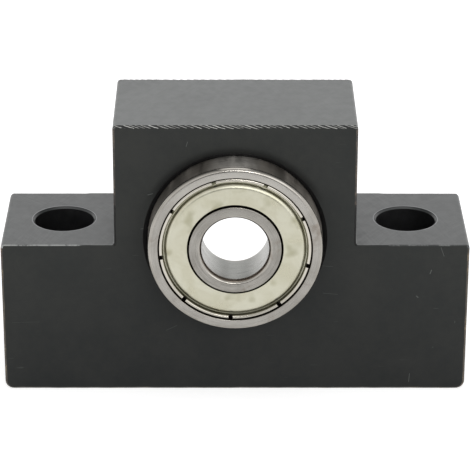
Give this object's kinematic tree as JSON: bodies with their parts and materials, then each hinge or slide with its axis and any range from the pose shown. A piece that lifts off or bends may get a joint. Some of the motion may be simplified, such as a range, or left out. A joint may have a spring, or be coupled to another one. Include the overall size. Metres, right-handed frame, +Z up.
{
  "type": "ball screw end support",
  "caption": "T-shaped blackened steel housing with vertical mounting holes and a shielded ball bearing that slides in its plain bore, for the floating end of a ball screw.",
  "frame": {"origin": "on the mounting face, below the bore axis and half way through the housing", "axes": "+X along the feet, +Y along the screw axis from the bearing's shown face into the housing, +Z up from the mounting face"},
  "size_m": [0.07, 0.0242, 0.043],
  "materials": {
    "black_oxide": "black oxide on milled steel, semi-matt",
    "ring_steel": "ground and polished bearing steel",
    "ball_steel": "polished bearing steel",
    "cage_sheet": "pressed steel sheet",
    "shield_sheet": "pressed sheet, pale yellow-green passivation"
  },
  "bodies": {
    "housing_body": {"housing": "black_oxide"},
    "outer_body": {"outer_ring": "ring_steel", "shield_front": "shield_sheet", "shield_rear": "shield_sheet"},
    "inner_body": {"inner_ring": "ring_steel"},
    "cage_body": {"cage_front": "cage_sheet", "cage_rear": "cage_sheet", "cage_rivets": "cage_sheet"},
    "ball_1_body": {"ball_1": "ball_steel"},
    "ball_2_body": {"ball_2": "ball_steel"},
    "ball_3_body": {"ball_3": "ball_steel"},
    "ball_4_body": {"ball_4": "ball_steel"},
    "ball_5_body": {"ball_5": "ball_steel"},
    "ball_6_body": {"ball_6": "ball_steel"},
    "ball_7_body": {"ball_7": "ball_steel"}
  },
  "joints": [
    {"name": "bearing_slide", "type": "slide", "parent": "housing_body", "child": "outer_body", "axis": [0, 1, 0], "range_m": [0, 0.0162]},
    {"name": "inner_ring_spin", "type": "hinge", "parent": "outer_body", "child": "inner_body", "pos_m": [0, -0.0102, 0.025], "axis": [0, 1, 0], "continuous": true},
    {"name": "cage_spin", "type": "hinge", "parent": "outer_body", "child": "cage_body", "pos_m": [0, -0.0102, 0.025], "axis": [0, 1, 0], "continuous": true},
    {"name": "ball_1_spin", "type": "hinge", "parent": "cage_body", "child": "ball_1_body", "pos_m": [0, -0.0102, 0.034], "axis": [0, 1, 0], "continuous": true},
    {"name": "ball_2_spin", "type": "hinge", "parent": "cage_body", "child": "ball_2_body", "pos_m": [-0.00704, -0.0102, 0.03061], "axis": [0, 1, 0], "continuous": true},
    {"name": "ball_3_spin", "type": "hinge", "parent": "cage_body", "child": "ball_3_body", "pos_m": [-0.00877, -0.0102, 0.023], "axis": [0, 1, 0], "continuous": true},
    {"name": "ball_4_spin", "type": "hinge", "parent": "cage_body", "child": "ball_4_body", "pos_m": [-0.00391, -0.0102, 0.01689], "axis": [0, 1, 0], "continuous": true},
    {"name": "ball_5_spin", "type": "hinge", "parent": "cage_body", "child": "ball_5_body", "pos_m": [0.00391, -0.0102, 0.01689], "axis": [0, 1, 0], "continuous": true},
    {"name": "ball_6_spin", "type": "hinge", "parent": "cage_body", "child": "ball_6_body", "pos_m": [0.00877, -0.0102, 0.023], "axis": [0, 1, 0], "continuous": true},
    {"name": "ball_7_spin", "type": "hinge", "parent": "cage_body", "child": "ball_7_body", "pos_m": [0.00704, -0.0102, 0.03061], "axis": [0, 1, 0], "continuous": true}
  ],
  "couplings": [
    {"joint": "cage_spin", "follows": "inner_ring_spin", "ratio": 0.36771},
    {"joint": "ball_1_spin", "follows": "inner_ring_spin", "ratio": -1.7575},
    {"joint": "ball_2_spin", "follows": "inner_ring_spin", "ratio": -1.7575},
    {"joint": "ball_3_spin", "follows": "inner_ring_spin", "ratio": -1.7575},
    {"joint": "ball_4_spin", "follows": "inner_ring_spin", "ratio": -1.7575},
    {"joint": "ball_5_spin", "follows": "inner_ring_spin", "ratio": -1.7575},
    {"joint": "ball_6_spin", "follows": "inner_ring_spin", "ratio": -1.7575},
    {"joint": "ball_7_spin", "follows": "inner_ring_spin", "ratio": -1.7575}
  ]
}
